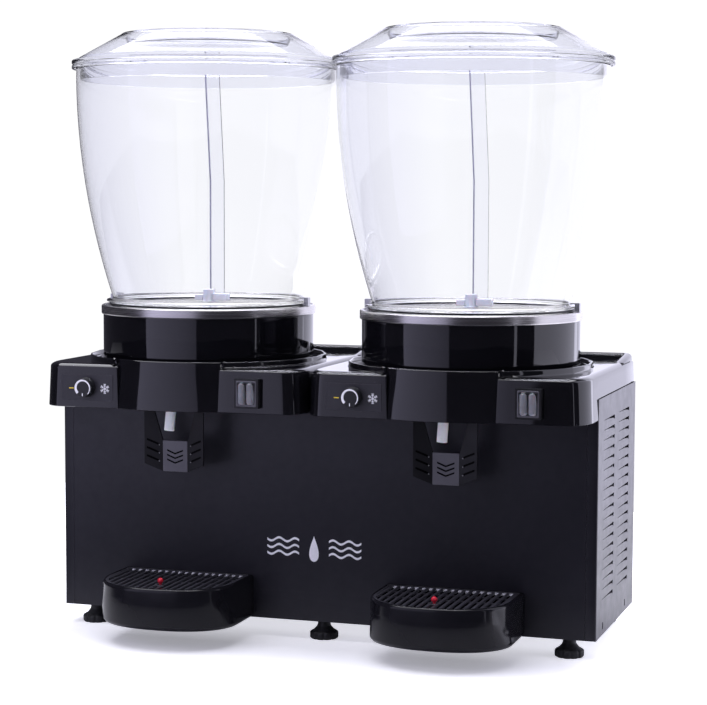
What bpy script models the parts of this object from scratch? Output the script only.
"""Twin-bowl chilled drink dispenser, free-standing on a counter.

Frame: metres, +Z up, front faces -Y, origin under the middle of the footprint on the counter.
Every sub-part is one closed solid in its own object. A moving piece has its origin on its joint's axis.
"""

import math

import bmesh
import bpy
from mathutils import Matrix, Vector

GAP = 0.0003                      # air between pieces that touch
ROUND_STEPS = 28                  # facets round the large turned pieces

# Cabinet
CABINET_HALF_WIDTH = 0.360
CABINET_FRONT = -0.0645
CABINET_BACK = 0.1905
CABINET_BOTTOM = 0.0247
CABINET_TOP = 0.3244
SHEET = 0.0012
FLANGE = 0.0135                   # return flange of a side panel
PAN_LIP = 0.015

# Side louvres and slots
LOUVRE_ROWS = 19
LOUVRE_PITCH = 0.0125
LOUVRE_TOP_Z = 0.2985
LOUVRE_HEIGHT = 0.0036
LOUVRE_COLUMNS = ((-0.026, 0.042), (0.073, 0.143))
PANEL_SLOTS = ((-0.022, 0.036), (0.129, 0.036))

# Feet
FOOT_X = (-0.323, 0.0, 0.323)
FOOT_Y = (-0.0450, 0.1710)
FOOT_R = 0.0184
STUD_R = 0.004

# Modules: one bowl, hood, lever and tray each
MODULE_X = 0.180
BOWL_Y = 0.0048
SIDES = (("left", -MODULE_X), ("right", MODULE_X))

# Hood
HOOD_HALF_WIDTH = 0.1796
HOOD_TOP = 0.3550
HOOD_FRONT_BOTTOM = 0.2987
HOOD_WALL = 0.0025
HOOD_FACE_Y = -0.1350             # flat faces of the two control boxes
HOOD_DRAFT = 0.0012
HOOD_CORNER_X, HOOD_CORNER_Y = 0.0225, 0.0425    # corners are longer in depth than in width
BOX_INNER_X = 0.0685              # where a control box meets the round nose
NOSE_R_TOP = 0.1515
NOSE_R_BOTTOM = 0.1545
LIP_R = 0.1565
LIP_TOP = 0.3620
RIDGE_TOP = 0.3635
RIDGE_DEPTH = 0.012
DECK_HOLE_R = 0.134

# Collar and cooling plate
COLLAR_R = 0.1395
COLLAR_WALL = 0.003
COLLAR_FLOOR = 0.368
PLATE_R = 0.142
PLATE_TOP = 0.427
PLATE_SKIRT_BOTTOM = 0.4155

# Bowl and lid
BOWL_BOTTOM = 0.430
BOWL_TOP = 0.735
BOWL_R = 0.173
BOWL_TAPER = 0.046
BOWL_WALL = 0.003
LID_R = 0.1786
LID_TOP = 0.782

# Spout tube: a straight line leaning forward as it goes down
TUBE_R = 0.0065
TUBE_BORE = 0.0045
TUBE_REF = (-0.124, 0.2987)       # y, z of a point on its axis
TUBE_SLOPE = 0.255
TUBE_END_Z = 0.2725

# Lever
PIVOT_Y, PIVOT_Z = -0.107, 0.312
PIN_R = 0.002
LEVER_MID_Y = -0.111
LEVER_EDGE_DY = -0.006
LEVER_MID_HALF = 0.0175
LEVER_HALF = 0.041
LEVER_THICK = 0.003
EAR_X = (0.0360, 0.0400)
RIB_X = (0.0430, 0.0460)

# Controls
KNOB_X, KNOB_Z, KNOB_R = -0.1127, 0.3247, 0.0127
SWITCH_X, SWITCH_Z = 0.1100, 0.3245
SWITCH_W, SWITCH_H, SWITCH_PROUD = 0.0318, 0.037, 0.0085
ROCKER_W, ROCKER_H, ROCKER_TILT = 0.0230, 0.0285, 7.0

# Drip tray
TRAY_HALF = 0.0905
TRAY_BACK = CABINET_FRONT - GAP
TRAY_STRAIGHT = -0.120            # y where the round front starts
TRAY_FRONT = -0.1995
TRAY_TOP = 0.081
TRAY_BOTTOM = 0.0249
TRAY_SQUARE = 2.3                 # superellipse exponent of the round front
TRAY_TAPER = 0.012
TRAY_LEDGE = 0.0767
PEG_X, PEG_Z, PEG_R = 0.060, 0.062, 0.003
SLOT_PITCH, SLOT_WIDTH, SLOTS = 0.0094, 0.0050, 17
FLOAT_Y, FLOAT_BALL_R, FLOAT_STEM_R = -0.1605, 0.00375, 0.0018

COLOURS = {                       # name: (colour, roughness, metallic)
    "cabinet_paint": ((0.020, 0.019, 0.024), 0.45, 0.0),
    "hood_plastic": ((0.010, 0.010, 0.013), 0.08, 0.0),
    "lever_plastic": ((0.018, 0.018, 0.022), 0.35, 0.0),
    "tray_plastic": ((0.012, 0.012, 0.015), 0.15, 0.0),
    "steel": ((0.60, 0.58, 0.55), 0.30, 1.0),
    "clear_plastic": ((0.80, 0.82, 0.86), 0.05, 0.0),
    "white_plastic": ((0.80, 0.80, 0.82), 0.35, 0.0),
    "silicone": ((0.85, 0.85, 0.86), 0.40, 0.0),
    "rubber": ((0.015, 0.015, 0.017), 0.60, 0.0),
    "float_red": ((0.70, 0.01, 0.03), 0.25, 0.0),
    "catch_grey": ((0.35, 0.34, 0.34), 0.35, 1.0),
    "galvanised": ((0.45, 0.46, 0.47), 0.45, 1.0),
    "compressor_black": ((0.012, 0.012, 0.012), 0.40, 0.0),
    "aluminium": ((0.70, 0.71, 0.72), 0.35, 1.0),
    "ferrite": ((0.09, 0.09, 0.09), 0.60, 0.0),
}


# ------------------------------------------------------------------ helpers

def clear_scene():
    for thing in list(bpy.data.objects):
        bpy.data.objects.remove(thing, do_unlink=True)


def material(name):
    mat = bpy.data.materials.get(name)
    if mat is None:
        colour, roughness, metallic = COLOURS[name]
        mat = bpy.data.materials.new(name)
        mat.use_nodes = True
        shader = mat.node_tree.nodes["Principled BSDF"]
        shader.inputs["Base Color"].default_value = (*colour, 1.0)
        shader.inputs["Roughness"].default_value = roughness
        shader.inputs["Metallic"].default_value = metallic
    return mat


def new_object(name, bm, mat, origin=(0, 0, 0), smooth=False):
    """Make an object from a bmesh given in world coordinates, with its origin at a chosen point."""
    bmesh.ops.recalc_face_normals(bm, faces=bm.faces)
    bmesh.ops.translate(bm, vec=-Vector(origin), verts=bm.verts)
    mesh = bpy.data.meshes.new(name)
    bm.to_mesh(mesh)
    bm.free()
    if smooth:
        mesh.shade_smooth()
        mesh.set_sharp_from_angle(angle=math.radians(35))
    obj = bpy.data.objects.new(name, mesh)
    obj.location = origin
    obj.data.materials.append(material(mat))
    bpy.context.scene.collection.objects.link(obj)
    return obj


def apply_tool(target, bm, operation):
    """Cut a tool solid from a target, or fuse it on, with a Boolean modifier."""
    name = f"{target.name}.{operation.lower()}{len(target.modifiers)}"
    tool = new_object(name, bm, target.data.materials[0].name)
    tool.hide_render = True
    tool.display_type = "WIRE"
    boolean = target.modifiers.new(name, "BOOLEAN")
    boolean.operation = operation
    boolean.solver = "EXACT"
    boolean.object = tool


def cut(target, bm):
    apply_tool(target, bm, "DIFFERENCE")


def fuse(target, bm):
    apply_tool(target, bm, "UNION")


def add_loft(bm, levels):
    """Close a solid through matching rings of points, each a list of (x, y, z)."""
    rings = [[bm.verts.new(p) for p in level] for level in levels]
    bm.faces.new(rings[0][::-1])
    bm.faces.new(rings[-1])
    for low, high in zip(rings, rings[1:]):
        for i in range(len(low)):
            j = (i + 1) % len(low)
            bm.faces.new((low[i], low[j], high[j], high[i]))


def add_prism(bm, outline, z0, z1):
    add_loft(bm, [[(x, y, z) for x, y in outline] for z in (z0, z1)])


def add_box(bm, x, y, z):
    add_prism(bm, [(x[0], y[0]), (x[1], y[0]), (x[1], y[1]), (x[0], y[1])], z[0], z[1])


def box(x, y, z):
    bm = bmesh.new()
    add_box(bm, x, y, z)
    return bm


def add_lathe(bm, profile, steps, matrix=Matrix(), closed=False, radius=None):
    """Turn (radius, height) points about local Z. A closed profile is a loop that misses the axis."""
    columns = []
    for i in range(steps):
        angle = 2 * math.pi * i / steps
        column = []
        for k, (r, z) in enumerate(profile):
            if r == 0 and i > 0:
                column.append(columns[0][k])
                continue
            reach = radius(i, k, r) if radius else r
            point = Vector((reach * math.cos(angle), reach * math.sin(angle), z))
            column.append(bm.verts.new(matrix @ point))
        columns.append(column)
    pairs = list(zip(range(len(profile)), range(1, len(profile))))
    if closed:
        pairs.append((len(profile) - 1, 0))
    for i in range(steps):
        a, b = columns[i], columns[(i + 1) % steps]
        for k, m in pairs:
            corners = []
            for vert in (a[k], b[k], b[m], a[m]):
                if vert not in corners:
                    corners.append(vert)
            bm.faces.new(corners)


def lathe(profile, steps, matrix=Matrix(), closed=False, radius=None):
    bm = bmesh.new()
    add_lathe(bm, profile, steps, matrix, closed, radius)
    return bm


def at(x, y, z=0.0):
    return Matrix.Translation((x, y, z))


def along_y(x, y, z):
    """Local +Z of a lathe points along world -Y."""
    return at(x, y, z) @ Matrix.Rotation(math.radians(90), 4, "X")


def along_x(x, y, z):
    """Local +Z of a lathe points along world +X."""
    return at(x, y, z) @ Matrix.Rotation(math.radians(90), 4, "Y")


def rod(r, z0, z1, steps, matrix=Matrix()):
    return lathe([(0, z0), (r, z0), (r, z1), (0, z1)], steps, matrix)


def arc(centre, r, start, end, steps):
    """Points on an arc in plan, angles in degrees."""
    points = []
    for i in range(steps + 1):
        angle = math.radians(start + (end - start) * i / steps)
        points.append((centre[0] + r * math.cos(angle), centre[1] + r * math.sin(angle)))
    return points


# ------------------------------------------------------------------ cabinet

def build_chassis_base():
    half = CABINET_HALF_WIDTH - SHEET - GAP
    front, back = CABINET_FRONT + SHEET + GAP, CABINET_BACK - SHEET - GAP
    floor = (CABINET_BOTTOM, CABINET_BOTTOM + SHEET)
    pan = new_object("chassis_base", box((-half, half), (front, back), (floor[0], floor[0] + PAN_LIP)),
                     "galvanised")
    cut(pan, box((-half + SHEET, half - SHEET), (front + SHEET, back - SHEET), (floor[1], 0.06)))
    holes = bmesh.new()
    for x in FOOT_X:
        for y in FOOT_Y:
            add_lathe(holes, [(0, 0.020), (STUD_R + 0.0004, 0.020), (STUD_R + 0.0004, 0.030), (0, 0.030)],
                      10, at(x, y))
    cut(pan, holes)


def build_side_panels():
    outer, inner = CABINET_HALF_WIDTH, CABINET_HALF_WIDTH - SHEET
    for name, sign in (("left", -1), ("right", 1)):
        flange = CABINET_HALF_WIDTH - FLANGE
        outline = [(outer, CABINET_FRONT), (outer, CABINET_BACK), (flange, CABINET_BACK),
                   (flange, CABINET_BACK - SHEET), (inner, CABINET_BACK - SHEET),
                   (inner, CABINET_FRONT + SHEET), (flange, CABINET_FRONT + SHEET),
                   (flange, CABINET_FRONT)]
        bm = bmesh.new()
        add_prism(bm, [(sign * x, y) for x, y in outline], CABINET_BOTTOM, CABINET_TOP)
        panel = new_object(f"side_panel_{name}", bm, "cabinet_paint")
        slots = bmesh.new()
        across = sorted((sign * 0.350, sign * 0.370))
        for y0, y1 in LOUVRE_COLUMNS:
            for row in range(LOUVRE_ROWS):
                top = LOUVRE_TOP_Z - row * LOUVRE_PITCH
                add_box(slots, across, (y0, y1), (top - LOUVRE_HEIGHT, top))
        for y, z in PANEL_SLOTS:
            add_box(slots, across, (y - 0.0015, y + 0.0015), (z - 0.0045, z + 0.0045))
        cut(panel, slots)


def build_front_panel():
    half = CABINET_HALF_WIDTH - FLANGE - GAP
    panel = new_object("front_panel", box((-half, half), (CABINET_FRONT, CABINET_FRONT + SHEET),
                                          (CABINET_BOTTOM, CABINET_TOP)), "cabinet_paint")
    holes = bmesh.new()
    for _, x in SIDES:
        for side in (-1, 1):
            add_lathe(holes, [(0, -0.005), (PEG_R + GAP, -0.005), (PEG_R + GAP, 0.005), (0, 0.005)], 10,
                      along_y(x + side * PEG_X, CABINET_FRONT, PEG_Z))
    cut(panel, holes)


def build_rear_panel():
    half = CABINET_HALF_WIDTH - FLANGE - GAP
    panel = new_object("rear_panel", box((-half, half), (CABINET_BACK - SHEET, CABINET_BACK),
                                         (CABINET_BOTTOM, CABINET_TOP)), "cabinet_paint")
    holes = bmesh.new()
    for x0 in (0.120, 0.215):
        for row in range(7):
            z = 0.095 + row * 0.025
            add_box(holes, (x0, x0 + 0.080), (0.18, 0.20), (z, z + 0.005))
    add_lathe(holes, [(0, -0.005), (0.0095, -0.005), (0.0095, 0.005), (0, 0.005)], 14,
              along_y(-0.300, CABINET_BACK, 0.060))
    cut(panel, holes)
    gland = [(0.0042, 0.012), (0.0090, 0.012), (0.0090, -GAP), (0.0125, -GAP), (0.0125, -0.0035),
             (0.0085, -0.0045), (0.0070, -0.0090), (0.0042, -0.0090)]
    new_object("cable_gland", lathe(gland, 14, along_y(-0.300, CABINET_BACK, 0.060), closed=True),
               "rubber", smooth=True)


def build_feet():
    profile = [(0, 0), (0.0170, 0), (FOOT_R, 0.0015), (FOOT_R, 0.0085), (0.0135, 0.0120),
               (0.0085, 0.0165), (0.0075, CABINET_BOTTOM - GAP), (STUD_R, CABINET_BOTTOM - GAP),
               (STUD_R, 0.0400), (0, 0.0400)]
    steps = 16

    def scallop(i, k, r):
        return r - 0.0012 if k in (1, 2, 3) and i % 2 else r

    number = 0
    for y in FOOT_Y:
        for x in FOOT_X:
            number += 1
            new_object(f"foot_{number}", lathe(profile, steps, at(x, y), radius=scallop), "rubber",
                       origin=(x, y, 0), smooth=True)


def build_cooling_unit():
    new_object("compressor", lathe([(0, 0.0262), (0.048, 0.0262), (0.056, 0.040), (0.056, 0.120),
                                    (0.044, 0.146), (0.018, 0.156), (0, 0.157)], 20, at(-0.175, 0.075)),
               "compressor_black", smooth=True)
    comb = [(0.318, -0.030)]
    fins, pitch, fin = 16, 0.0105, 0.003
    for i in range(fins):
        y = -0.030 + i * pitch
        comb += [(0.345, y), (0.345, y + fin), (0.325, y + fin), (0.325, y + pitch)]
    comb = comb[:-1] + [(0.318, -0.030 + (fins - 1) * pitch + fin)]
    bm = bmesh.new()
    add_prism(bm, comb, 0.060, 0.270)
    new_object("condenser", bm, "aluminium")
    centre = (0.290, 0.050, 0.165)
    blades = new_object("fan_blades", rod(0.016, -0.010, 0.010, 14, along_x(*centre)), "aluminium",
                        origin=centre, smooth=True)
    for i in range(5):
        blade = bmesh.new()
        add_box(blade, (-0.0008, 0.0008), (0.012, 0.078), (-0.020, 0.020))
        turn = Matrix.Rotation(math.radians(72 * i), 4, "X") @ Matrix.Rotation(math.radians(24), 4, "Y")
        bmesh.ops.transform(blade, matrix=at(*centre) @ turn, verts=blade.verts)
        fuse(blades, blade)
    fuse(blades, rod(0.003, -0.030, 0.0, 8, along_x(*centre)))
    motor = [(0, -0.035), (0.0034, -0.035), (0.0034, -0.014), (0.022, -0.014), (0.024, -0.018),
             (0.024, -0.055), (0.020, -0.060), (0, -0.060)]
    new_object("fan_motor", lathe(motor, 16, along_x(*centre)), "galvanised", smooth=True)


# ------------------------------------------------------------------ hood and cooling stack

def hood_outline(x_mid, level, inset):
    """Plan outline of a hood. level runs from 0 at the top to 1 at the front's lower edge."""
    half = HOOD_HALF_WIDTH - inset
    back = CABINET_BACK - inset
    face = HOOD_FACE_Y - HOOD_DRAFT * level + inset
    corner_x, corner_y = HOOD_CORNER_X - inset, HOOD_CORNER_Y - inset
    step = BOX_INNER_X + (inset and 0.003)
    nose = NOSE_R_TOP + (NOSE_R_BOTTOM - NOSE_R_TOP) * level - inset
    reach = math.degrees(math.asin(step / nose))

    def corner(middle, start, end):
        return [(middle + corner_x * x, face + corner_y + corner_y * y) for x, y in arc((0, 0), 1, start, end, 5)]

    points = [(half, back), (-half, back)]
    points += corner(-half + corner_x, 180, 270)
    points += [(-step, face)]
    points += arc((0, BOWL_Y), nose, 270 - reach, 270 + reach, 12)
    points += [(step, face)]
    points += corner(half - corner_x, 270, 360)
    return [(x_mid + x, y) for x, y in points]


def build_hood(side, x_mid):
    def level_ring(z, inset):
        level = (HOOD_TOP - z) / (HOOD_TOP - HOOD_FRONT_BOTTOM)
        return [(x, y, z) for x, y in hood_outline(x_mid, level, inset)]

    shell = bmesh.new()
    add_loft(shell, [level_ring(HOOD_FRONT_BOTTOM, 0), level_ring(HOOD_TOP, 0)])
    hood = new_object(f"hood_{side}", shell, "hood_plastic")
    hollow = bmesh.new()
    add_loft(hollow, [level_ring(HOOD_FRONT_BOTTOM - 0.010, HOOD_WALL),
                      level_ring(HOOD_TOP - HOOD_WALL, HOOD_WALL)])
    cut(hood, hollow)
    cut(hood, box((x_mid - 0.2, x_mid + 0.2), (CABINET_FRONT - GAP, 0.3), (0.28, CABINET_TOP + GAP)))
    lip = [(NOSE_R_TOP - 0.001, HOOD_TOP - 0.0015), (LIP_R, HOOD_TOP - 0.0015), (LIP_R, LIP_TOP),
           (LIP_R - 0.003, LIP_TOP), (NOSE_R_TOP - 0.001, HOOD_TOP + 0.002)]
    fuse(hood, lathe(lip, ROUND_STEPS, at(x_mid, BOWL_Y), closed=True))
    fuse(hood, box((x_mid - HOOD_HALF_WIDTH + 0.001, x_mid + HOOD_HALF_WIDTH - 0.001),
                   (CABINET_BACK - RIDGE_DEPTH, CABINET_BACK - 0.0005), (HOOD_TOP - 0.001, RIDGE_TOP)))
    for sign in (-1, 1):
        across = sorted((x_mid + sign * RIB_X[0], x_mid + sign * RIB_X[1]))
        fuse(hood, box(across, (-0.1380, -0.0900), (0.3020, HOOD_TOP - 0.001)))
    holes = bmesh.new()
    add_lathe(holes, [(0, HOOD_TOP - 0.006), (DECK_HOLE_R, HOOD_TOP - 0.006), (DECK_HOLE_R, 0.37), (0, 0.37)],
              ROUND_STEPS, at(x_mid, BOWL_Y))
    cut(hood, holes)
    holes = bmesh.new()
    pin = PIN_R + GAP
    for sign in (-1, 1):
        middle = x_mid + sign * (RIB_X[0] + RIB_X[1]) / 2
        add_lathe(holes, [(0, -0.004), (pin, -0.004), (pin, 0.004), (0, 0.004)], 12,
                  along_x(middle, PIVOT_Y, PIVOT_Z))
    add_lathe(holes, [(0, -0.01), (0.0034, -0.01), (0.0034, 0.01), (0, 0.01)], 12,
              along_y(x_mid + KNOB_X, HOOD_FACE_Y, KNOB_Z))
    add_box(holes, (x_mid + SWITCH_X - 0.0133, x_mid + SWITCH_X + 0.0133), (-0.145, -0.125),
            (SWITCH_Z - 0.0168, SWITCH_Z + 0.0168))
    cut(hood, holes)


def tube_y(z):
    return TUBE_REF[0] + (z - TUBE_REF[1]) * TUBE_SLOPE


def tube_ring(x_mid, z, r, steps, tilt=0.0):
    """Ring about the tube's axis, level at tilt 0 and square to the axis at tilt 1."""
    ring = []
    for i in range(steps):
        angle = 2 * math.pi * i / steps
        dy = r * math.sin(angle)
        dz = -dy * TUBE_SLOPE * tilt
        ring.append((x_mid + r * math.cos(angle), tube_y(z + dz) + dy, z + dz))
    return ring


def build_spout_tube(side, x_mid):
    steps = 16
    top = PLATE_TOP - 0.002 - GAP
    bm = bmesh.new()
    rings = []
    for r in (TUBE_R, TUBE_BORE):
        for z, tilt in ((TUBE_END_Z, 1.0), (top, 0.0)):
            rings.append([bm.verts.new(p) for p in tube_ring(x_mid, z, r, steps, tilt)])
    order = (rings[0], rings[1], rings[3], rings[2])
    for k in range(4):
        a, b = order[k], order[(k + 1) % 4]
        for i in range(steps):
            j = (i + 1) % steps
            bm.faces.new((a[i], a[j], b[j], b[i]))
    new_object(f"spout_tube_{side}", bm, "silicone", smooth=True)


def build_cooling_stack(side, x_mid):
    axis = at(x_mid, BOWL_Y)
    inner = COLLAR_R - COLLAR_WALL
    top = PLATE_TOP - 0.002 - GAP
    profile = [(COLLAR_R, HOOD_TOP + GAP), (COLLAR_R, top), (inner, top), (inner, COLLAR_FLOOR + 0.003),
               (0.012, COLLAR_FLOOR + 0.003), (0.012, COLLAR_FLOOR), (0.131, COLLAR_FLOOR),
               (0.131, HOOD_TOP + GAP)]
    collar = new_object(f"collar_{side}", lathe(profile, ROUND_STEPS, axis, closed=True),
                        "hood_plastic", smooth=True)
    passage = bmesh.new()
    add_loft(passage, [tube_ring(x_mid, z, TUBE_R + 0.0007, 12) for z in (0.364, 0.376)])
    cut(collar, passage)

    plate = [(0, PLATE_TOP - 0.002), (PLATE_R - 0.0018, PLATE_TOP - 0.002),
             (PLATE_R - 0.0018, PLATE_SKIRT_BOTTOM), (PLATE_R, PLATE_SKIRT_BOTTOM),
             (PLATE_R, PLATE_TOP - 0.0015), (PLATE_R - 0.0015, PLATE_TOP), (0, PLATE_TOP)]
    disc = new_object(f"cooling_plate_{side}", lathe(plate, ROUND_STEPS, axis), "steel", smooth=True)
    cut(disc, rod(TUBE_BORE, 0.420, 0.430, 12, at(x_mid, tube_y(PLATE_TOP))))

    gasket = [(0.1255, PLATE_TOP + GAP), (0.132, PLATE_TOP + GAP), (0.132, BOWL_BOTTOM - GAP),
              (0.1255, BOWL_BOTTOM - GAP)]
    new_object(f"bowl_gasket_{side}", lathe(gasket, ROUND_STEPS, axis, closed=True), "rubber", smooth=True)

    magnet = [(0, 0.352), (0.004, 0.352), (0.004, 0.410), (0.030, 0.410), (0.030, 0.422), (0, 0.422)]
    new_object(f"drive_magnet_{side}", lathe(magnet, 16, axis), "ferrite",
               origin=(x_mid, BOWL_Y, 0.410), smooth=True)
    top = COLLAR_FLOOR - GAP
    motor = [(0, 0.350), (0.0044, 0.350), (0.0044, top), (0.034, top), (0.034, top - 0.003),
             (0.027, top - 0.003), (0.027, 0.314), (0.024, 0.311), (0, 0.311)]
    new_object(f"stirrer_motor_{side}", lathe(motor, 18, axis), "galvanised", smooth=True)


# ------------------------------------------------------------------ bowl, lid, agitator

def bowl_radius(z):
    """Outer radius of the bowl's wall: upright at the rim, pulled in towards the base."""
    return BOWL_R - BOWL_TAPER * (max(0.0, 0.727 - z) / 0.290) ** 2


def build_bowl(side, x_mid):
    heights = (0.4364, 0.482, 0.532, 0.595, 0.665, BOWL_TOP)
    outer = [(bowl_radius(z), z) for z in heights]
    inner = [(r - BOWL_WALL, z) for r, z in reversed(outer)]
    base = [(0.124, BOWL_BOTTOM), (0.131, BOWL_BOTTOM), (0.131, 0.4338), (0.135, 0.4342), (0.135, 0.4364)]
    bm = lathe(base + outer + inner, ROUND_STEPS, at(x_mid, BOWL_Y), closed=True)
    new_object(f"bowl_{side}", bm, "clear_plastic", origin=(x_mid, BOWL_Y, BOWL_BOTTOM), smooth=True)
    for place, sign in (("outer", math.copysign(1, x_mid)), ("inner", -math.copysign(1, x_mid))):
        def across(a, b):
            return sorted((x_mid + sign * a, x_mid + sign * b))
        y = (BOWL_Y - 0.0045, BOWL_Y + 0.0045)
        name = f"bowl_catch_{side}_{place}"
        catch = new_object(name, box(across(0.1353, 0.1412), y, (0.4274, 0.4382)), "catch_grey",
                           origin=(x_mid, BOWL_Y, BOWL_BOTTOM))
        fuse(catch, box(across(0.1295, 0.1360), y, (0.4367, 0.4382)))


def build_lid(side, x_mid):
    under = 0.0028
    profile = [(0, 0.768), (0.1035, 0.768), (0.1075, 0.7805), (0.1115, LID_TOP), (0.1150, 0.7805),
               (0.1700, 0.7485), (0.1765, 0.7465), (LID_R, 0.7445), (LID_R, BOWL_TOP + GAP),
               (0.1680, BOWL_TOP + GAP), (0.1680, 0.720), (0.1655, 0.720), (0.1655, 0.7445),
               (0.1130, 0.7765), (0.1085, 0.7765), (0.1045, 0.768 - under), (0, 0.768 - under)]
    new_object(f"lid_{side}", lathe(profile, ROUND_STEPS, at(x_mid, BOWL_Y)), "clear_plastic",
               origin=(x_mid, BOWL_Y, BOWL_TOP), smooth=True)


def build_agitator(side, x_mid):
    origin = (x_mid, BOWL_Y, PLATE_TOP)
    hub = new_object(f"agitator_hub_{side}", rod(0.008, PLATE_TOP + GAP, 0.447, 16, at(x_mid, BOWL_Y)),
                     "white_plastic", origin=origin, smooth=True)
    fuse(hub, box((x_mid - 0.019, x_mid + 0.028), (BOWL_Y - 0.006, BOWL_Y + 0.006), (0.4285, 0.4360)))
    foot, top, kink = 0.4363, 0.736, 0.590
    outline = [(0.0086, foot), (0.0220, foot), (0.0220, kink), (0.0150, top), (-0.0045, top),
               (0.0025, kink), (0.0025, 0.4475), (0.0086, 0.4475)]
    thick = 0.0035
    bm = bmesh.new()
    add_loft(bm, [[(x_mid + x, BOWL_Y + dy, z) for x, z in outline] for dy in (-thick / 2, thick / 2)])
    new_object(f"paddle_{side}", bm, "clear_plastic", origin=origin)


# ------------------------------------------------------------------ lever

def build_lever(side, x_mid):
    top = 0.316
    mid, half = LEVER_MID_HALF, LEVER_HALF
    front = {"a": (-mid, 0.217), "b": (mid, 0.217), "c": (half, 0.227), "d": (half, top),
             "e": (0.0335, top), "f": (mid, 0.2575), "g": (-mid, 0.2575), "h": (-0.0335, top),
             "i": (-half, top), "j": (-half, 0.227)}
    bm = bmesh.new()
    layers = []
    for shift in (0.0, LEVER_THICK):
        layer = {}
        for key, (x, z) in front.items():
            lean = LEVER_EDGE_DY * max(0.0, abs(x) - mid) / (half - mid)
            layer[key] = bm.verts.new((x_mid + x, LEVER_MID_Y + lean + shift, z))
        layers.append(layer)
    for layer in layers:
        for face in ("abfg", "bcdef", "jaghi"):
            bm.faces.new([layer[key] for key in face])
    rim = "abcdefghij"
    for i, key in enumerate(rim):
        after = rim[(i + 1) % len(rim)]
        bm.faces.new((layers[0][key], layers[0][after], layers[1][after], layers[1][key]))
    lever = new_object(f"lever_{side}", bm, "lever_plastic", origin=(x_mid, PIVOT_Y, PIVOT_Z))
    for sign in (-1, 1):
        ear = sorted((x_mid + sign * EAR_X[0], x_mid + sign * EAR_X[1]))
        fuse(lever, box(ear, (-0.1254, -0.1015), (0.3050, 0.3430)))
    fuse(lever, box((x_mid - EAR_X[0] - 0.001, x_mid + EAR_X[0] + 0.001), (-0.1254, -0.1214),
                    (0.3360, 0.3430)))
    holes = rod(PIN_R + GAP, -0.050, 0.050, 12, along_x(x_mid, PIVOT_Y, PIVOT_Z))
    cut(lever, holes)
    new_object(f"lever_pin_{side}", rod(PIN_R, -0.0470, 0.0470, 12, along_x(x_mid, PIVOT_Y, PIVOT_Z)),
               "steel", origin=(x_mid, PIVOT_Y, PIVOT_Z), smooth=True)
    build_lever_spring(side, x_mid)


def build_lever_spring(side, x_mid):
    """Torsion spring wound round the lever's pin."""
    coil_r, wire_r, turns, steps = 0.0036, 0.0007, 3, 8
    start, pitch = x_mid - 0.030, 0.0030
    sides = 4
    bm = bmesh.new()
    rings = []
    for i in range(turns * steps + 1):
        angle = 2 * math.pi * i / steps
        radial = Vector((0, math.cos(angle), math.sin(angle)))
        centre = Vector((start + pitch * i / steps, PIVOT_Y, PIVOT_Z)) + coil_r * radial
        ring = []
        for k in range(sides):
            around = 2 * math.pi * k / sides
            ring.append(bm.verts.new(centre + wire_r * (math.cos(around) * radial
                                                        + math.sin(around) * Vector((1, 0, 0)))))
        rings.append(ring)
    for low, high in zip(rings, rings[1:]):
        for k in range(sides):
            m = (k + 1) % sides
            bm.faces.new((low[k], low[m], high[m], high[k]))
    bm.faces.new(rings[0])
    bm.faces.new(rings[-1][::-1])
    new_object(f"lever_spring_{side}", bm, "steel", origin=(x_mid, PIVOT_Y, PIVOT_Z), smooth=True)


# ------------------------------------------------------------------ controls

def build_controls(side, x_mid):
    face = HOOD_FACE_Y - HOOD_DRAFT * 0.7
    x = x_mid + KNOB_X
    profile = [(0, -0.018), (0.003, -0.018), (0.003, GAP), (KNOB_R, GAP), (KNOB_R, 0.0105),
               (0.0118, 0.0125), (0, 0.0125)]
    new_object(f"knob_{side}", lathe(profile, 24, along_y(x, face - GAP, KNOB_Z)), "rubber",
               origin=(x, face, KNOB_Z), smooth=True)

    x, z = x_mid + SWITCH_X, SWITCH_Z
    front = face - SWITCH_PROUD
    frame = new_object(f"switch_frame_{side}",
                       box((x - SWITCH_W / 2, x + SWITCH_W / 2), (front, face - GAP),
                           (z - SWITCH_H / 2, z + SWITCH_H / 2)), "rubber")
    fuse(frame, box((x - 0.013, x + 0.013), (face - 0.001, -0.113), (z - 0.0165, z + 0.0165)))
    cut(frame, box((x - 0.0120, x + 0.0120), (front - 0.01, -0.126), (z - 0.0152, z + 0.0152)))

    pivot = (x, front + 0.0045, z)
    half = ROCKER_H / 2
    section = [(0.0060, -half), (0.0060, half), (-0.0062, half), (-0.0045, 0.0), (-0.0062, -half)]
    bm = bmesh.new()
    add_loft(bm, [[(pivot[0] + dx, pivot[1] + y, pivot[2] + zz) for y, zz in section]
                  for dx in (-ROCKER_W / 2, ROCKER_W / 2)])
    rocker = new_object(f"rocker_{side}", bm, "rubber", origin=pivot)
    rocker.rotation_euler.x = math.radians(ROCKER_TILT)


# ------------------------------------------------------------------ drip tray

def tray_outline(x_mid, inset, front_pull, steps=14):
    """D-shaped plan: straight sides from the back, then a squared half round front."""
    half = TRAY_HALF - inset
    back = TRAY_BACK - inset
    depth = TRAY_STRAIGHT - (TRAY_FRONT + front_pull + inset)
    points = [(half, back), (-half, back)]
    for i in range(steps + 1):
        angle = math.pi * i / steps
        c, s = math.cos(angle), math.sin(angle)
        x = -half * math.copysign(abs(c) ** (2 / TRAY_SQUARE), c)
        y = TRAY_STRAIGHT - depth * abs(s) ** (2 / TRAY_SQUARE)
        points.append((x, y))
    return [(x_mid + x, y) for x, y in points]


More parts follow.
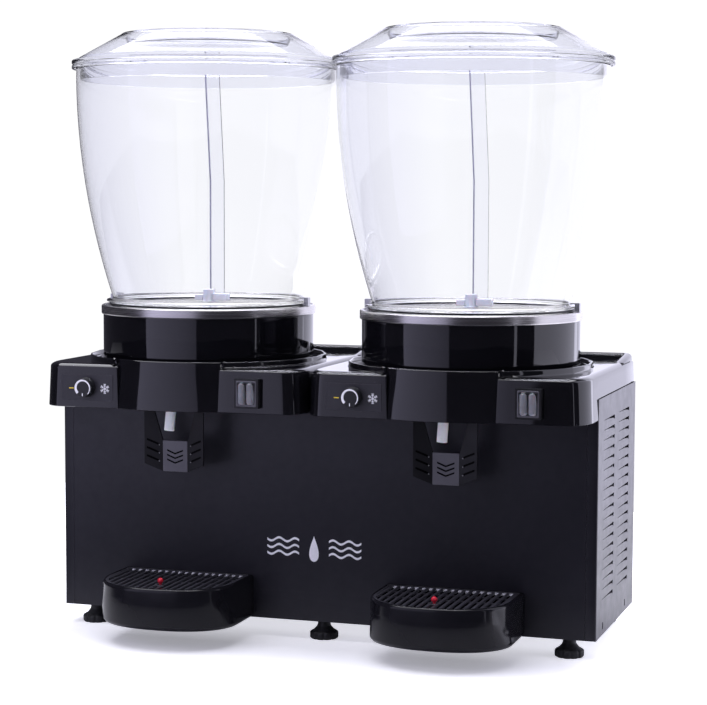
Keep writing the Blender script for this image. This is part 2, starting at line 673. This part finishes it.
def build_tray(side, x_mid):
    def ring(z, inset, extra=0.0):
        pull = TRAY_TAPER * max(0.0, (0.060 - z) / (0.060 - TRAY_BOTTOM)) ** 1.5
        return [(x, y, z) for x, y in tray_outline(x_mid, inset + extra, pull)]

    bm = bmesh.new()
    add_loft(bm, [ring(TRAY_BOTTOM, 0.0, 0.003), ring(0.0290, 0.0), ring(0.060, 0.0), ring(TRAY_TOP, 0.0)])
    origin = (x_mid, TRAY_BACK, PEG_Z)
    tray = new_object(f"drip_tray_{side}", bm, "tray_plastic", origin=origin)
    hollow = bmesh.new()
    add_loft(hollow, [ring(0.0285, 0.0045, 0.002), ring(0.060, 0.0045), ring(TRAY_TOP - 0.002, 0.0045)])
    cut(tray, hollow)
    ledge = bmesh.new()
    add_prism(ledge, tray_outline(x_mid, 0.0020, 0.0), TRAY_LEDGE, TRAY_TOP + 0.01)
    cut(tray, ledge)
    for sign in (-1, 1):
        fuse(tray, rod(PEG_R, -0.006, 0.002, 10, along_y(x_mid + sign * PEG_X, TRAY_BACK, PEG_Z)))

    bm = bmesh.new()
    add_prism(bm, tray_outline(x_mid, 0.0024, 0.0), TRAY_LEDGE + GAP, TRAY_TOP - 0.0008)
    grille = new_object(f"tray_grille_{side}", bm, "lever_plastic", origin=(x_mid, FLOAT_Y, TRAY_LEDGE))
    slots = bmesh.new()
    for i in range(SLOTS):
        x = (i - (SLOTS - 1) / 2) * SLOT_PITCH
        reach = (1 - (abs(x) / (TRAY_HALF - 0.007)) ** TRAY_SQUARE) ** (1 / TRAY_SQUARE)
        front = TRAY_STRAIGHT - (TRAY_STRAIGHT - TRAY_FRONT - 0.010) * reach
        if abs(x) < SLOT_PITCH / 2:
            front = FLOAT_Y + 0.010
        add_box(slots, (x_mid + x - SLOT_WIDTH / 2, x_mid + x + SLOT_WIDTH / 2), (front, TRAY_BACK - 0.010),
                (0.070, 0.090))
    add_lathe(slots, [(0, 0.070), (0.0043, 0.070), (0.0043, 0.090), (0, 0.090)], 12, at(x_mid, FLOAT_Y))
    cut(grille, slots)

    ball = 0.0845
    rings = [(0, 0.048), (0.0085, 0.048), (0.0085, 0.058), (FLOAT_STEM_R, 0.058)]
    for angle in (-60, -30, 0, 30, 60):
        turn = math.radians(angle)
        rings.append((FLOAT_BALL_R * math.cos(turn), ball + FLOAT_BALL_R * math.sin(turn)))
    rings.append((0, ball + FLOAT_BALL_R))
    new_object(f"tray_float_{side}", lathe(rings, 12, at(x_mid, FLOAT_Y)), "float_red",
               origin=(x_mid, FLOAT_Y, ball), smooth=True)


# ------------------------------------------------------------------ assembly

def build():
    clear_scene()
    build_chassis_base()
    build_side_panels()
    build_front_panel()
    build_rear_panel()
    build_feet()
    build_cooling_unit()
    for side, x_mid in SIDES:
        build_hood(side, x_mid)
        build_spout_tube(side, x_mid)
        build_cooling_stack(side, x_mid)
        build_bowl(side, x_mid)
        build_lid(side, x_mid)
        build_agitator(side, x_mid)
        build_lever(side, x_mid)
        build_controls(side, x_mid)
        build_tray(side, x_mid)


build()
